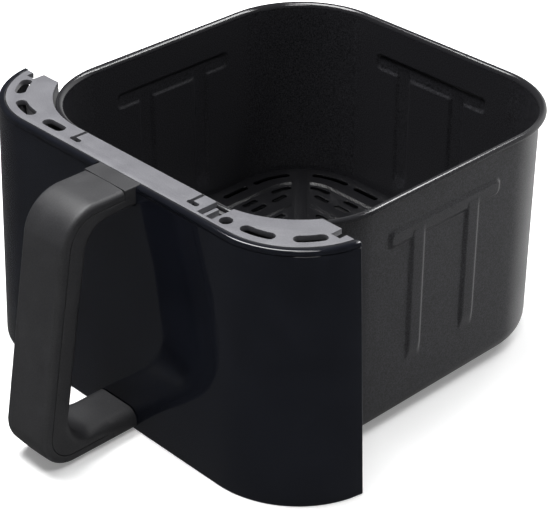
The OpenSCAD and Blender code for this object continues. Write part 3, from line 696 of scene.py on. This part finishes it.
# ---- Studio ----------------------------------------------------------------------------
# A white floor, left out of reflections, curves up into the backdrop. One large soft light is
# overhead, with a small one at the right and a strip behind, and the room is dim in front, so
# that the gloss face stays black. The camera looks down on the right front corner.

floor_front, sweep_start, sweep_r, sweep_top = -3.0, 2.0, 1.0, 4.0
floor_reach = 4.0
sweep = arc(sweep_start, sweep_r, sweep_r, -90, 0, 16)
floor_y = np.concatenate([[floor_front, sweep_start], sweep[:, 0], [sweep_start + sweep_r]])
floor_z = np.concatenate([[0, 0], sweep[:, 1], [sweep_top]])
floor_turn = np.radians(46)
away = np.array([-np.sin(floor_turn), np.cos(floor_turn)])
wide = np.array([np.cos(floor_turn), np.sin(floor_turn)])
span = np.array([-floor_reach, floor_reach])
floor_xy = floor_y[:, None, None] * away + span[None, :, None] * wide
floor_grid = np.dstack([floor_xy, np.repeat(floor_z[:, None], 2, 1)])
floor_mesh = bpy.data.meshes.new("studio_floor")
corners = np.arange(len(floor_y) * 2).reshape(-1, 2)
floor_faces = np.stack([corners[:-1, 0], corners[:-1, 1], corners[1:, 1], corners[1:, 0]], -1)
floor_mesh.from_pydata(floor_grid.reshape(-1, 3).tolist(), [], floor_faces.tolist())
floor_mesh.shade_smooth()
floor = bpy.data.objects.new("studio_floor", floor_mesh)
bpy.context.scene.collection.objects.link(floor)
paper = bpy.data.materials.new("matt_white_paper")
paper.use_nodes = True
matt = paper.node_tree.nodes["Principled BSDF"].inputs
matt["Base Color"].default_value = colour("#fafafa")
matt["Roughness"].default_value = 0.9
matt["Specular IOR Level"].default_value = 0.1
matt["Emission Color"].default_value = colour("#ffffff")
matt["Emission Strength"].default_value = 0.22
floor_mesh.materials.append(paper)
floor.visible_glossy = False


def placed(place, right, up, back):
    """The matrix that puts an object at a place with its axes along three directions."""
    return Matrix.Translation(place) @ Matrix(np.stack([right, up, back], 1).tolist()).to_4x4()


def soft_light(name, place, target, size, power):
    """A softbox at a place, in metres, that faces a target and gives its power in watts."""
    data = bpy.data.lights.new(name, "AREA")
    data.shape = "RECTANGLE"
    data.size, data.size_y = size
    data.energy = power
    light = bpy.data.objects.new(name, data)
    bpy.context.scene.collection.objects.link(light)
    back = np.subtract(place, target)
    back = back / np.linalg.norm(back)
    right = np.cross([0.0, 0.0, 1.0], back)
    right = right / max(np.linalg.norm(right), 1e-6)
    light.matrix_world = placed(place, right, np.cross(back, right), back)


drawer_middle = (0, 0, 0.1)
soft_light("overhead_softbox", (-0.4, -0.15, 1.5), drawer_middle, (0.9, 0.9), 42)
soft_light("right_softbox", (0.45, -0.3, 1.2), drawer_middle, (0.35, 0.35), 5)
soft_light("back_softbox", (0.25, 1.0, 1.4), drawer_middle, (1.3, 0.2), 14)

world = bpy.data.worlds.new("studio_fill")
bpy.context.scene.world = world
world.use_nodes = True
tree = world.node_tree
tree.nodes.clear()
toward = add(tree, "TexCoord", {}, {}).outputs["Generated"]
behind = add(tree, "SeparateXYZ", {}, {"Vector": toward}).outputs["Y"]
fill = add(tree, "MapRange", {"interpolation_type": "SMOOTHSTEP"}, {
    "Value": behind, "From Min": 0.55, "From Max": 0.95, "To Min": 0.1, "To Max": 1.2})
sky = add(tree, "Background", {}, {"Color": colour("#ffffff"), "Strength": fill.outputs["Result"]})
add(tree, "OutputWorld", {}, {"Surface": sky.outputs["Background"]})

view_turn, view_rise, view_roll = 0.806, 0.549, 0.002
view_distance = 1.0267
target = np.array([0.02484, -0.0435, 0.075])
back = np.array([
    np.sin(view_turn) * np.cos(view_rise), -np.cos(view_turn) * np.cos(view_rise),
    np.sin(view_rise)])
level = np.array([np.cos(view_turn), np.sin(view_turn), 0.0])
upward = np.cross(back, level)
right = level * np.cos(view_roll) + upward * np.sin(view_roll)
upward = np.cross(back, right)
camera_data = bpy.data.cameras.new("camera")
camera_data.lens = 121.04
camera = bpy.data.objects.new("camera", camera_data)
camera.matrix_world = placed(target + view_distance * back, right, upward, back)
bpy.context.scene.collection.objects.link(camera)
bpy.context.scene.camera = camera
bpy.context.scene.view_settings.view_transform = "Standard"
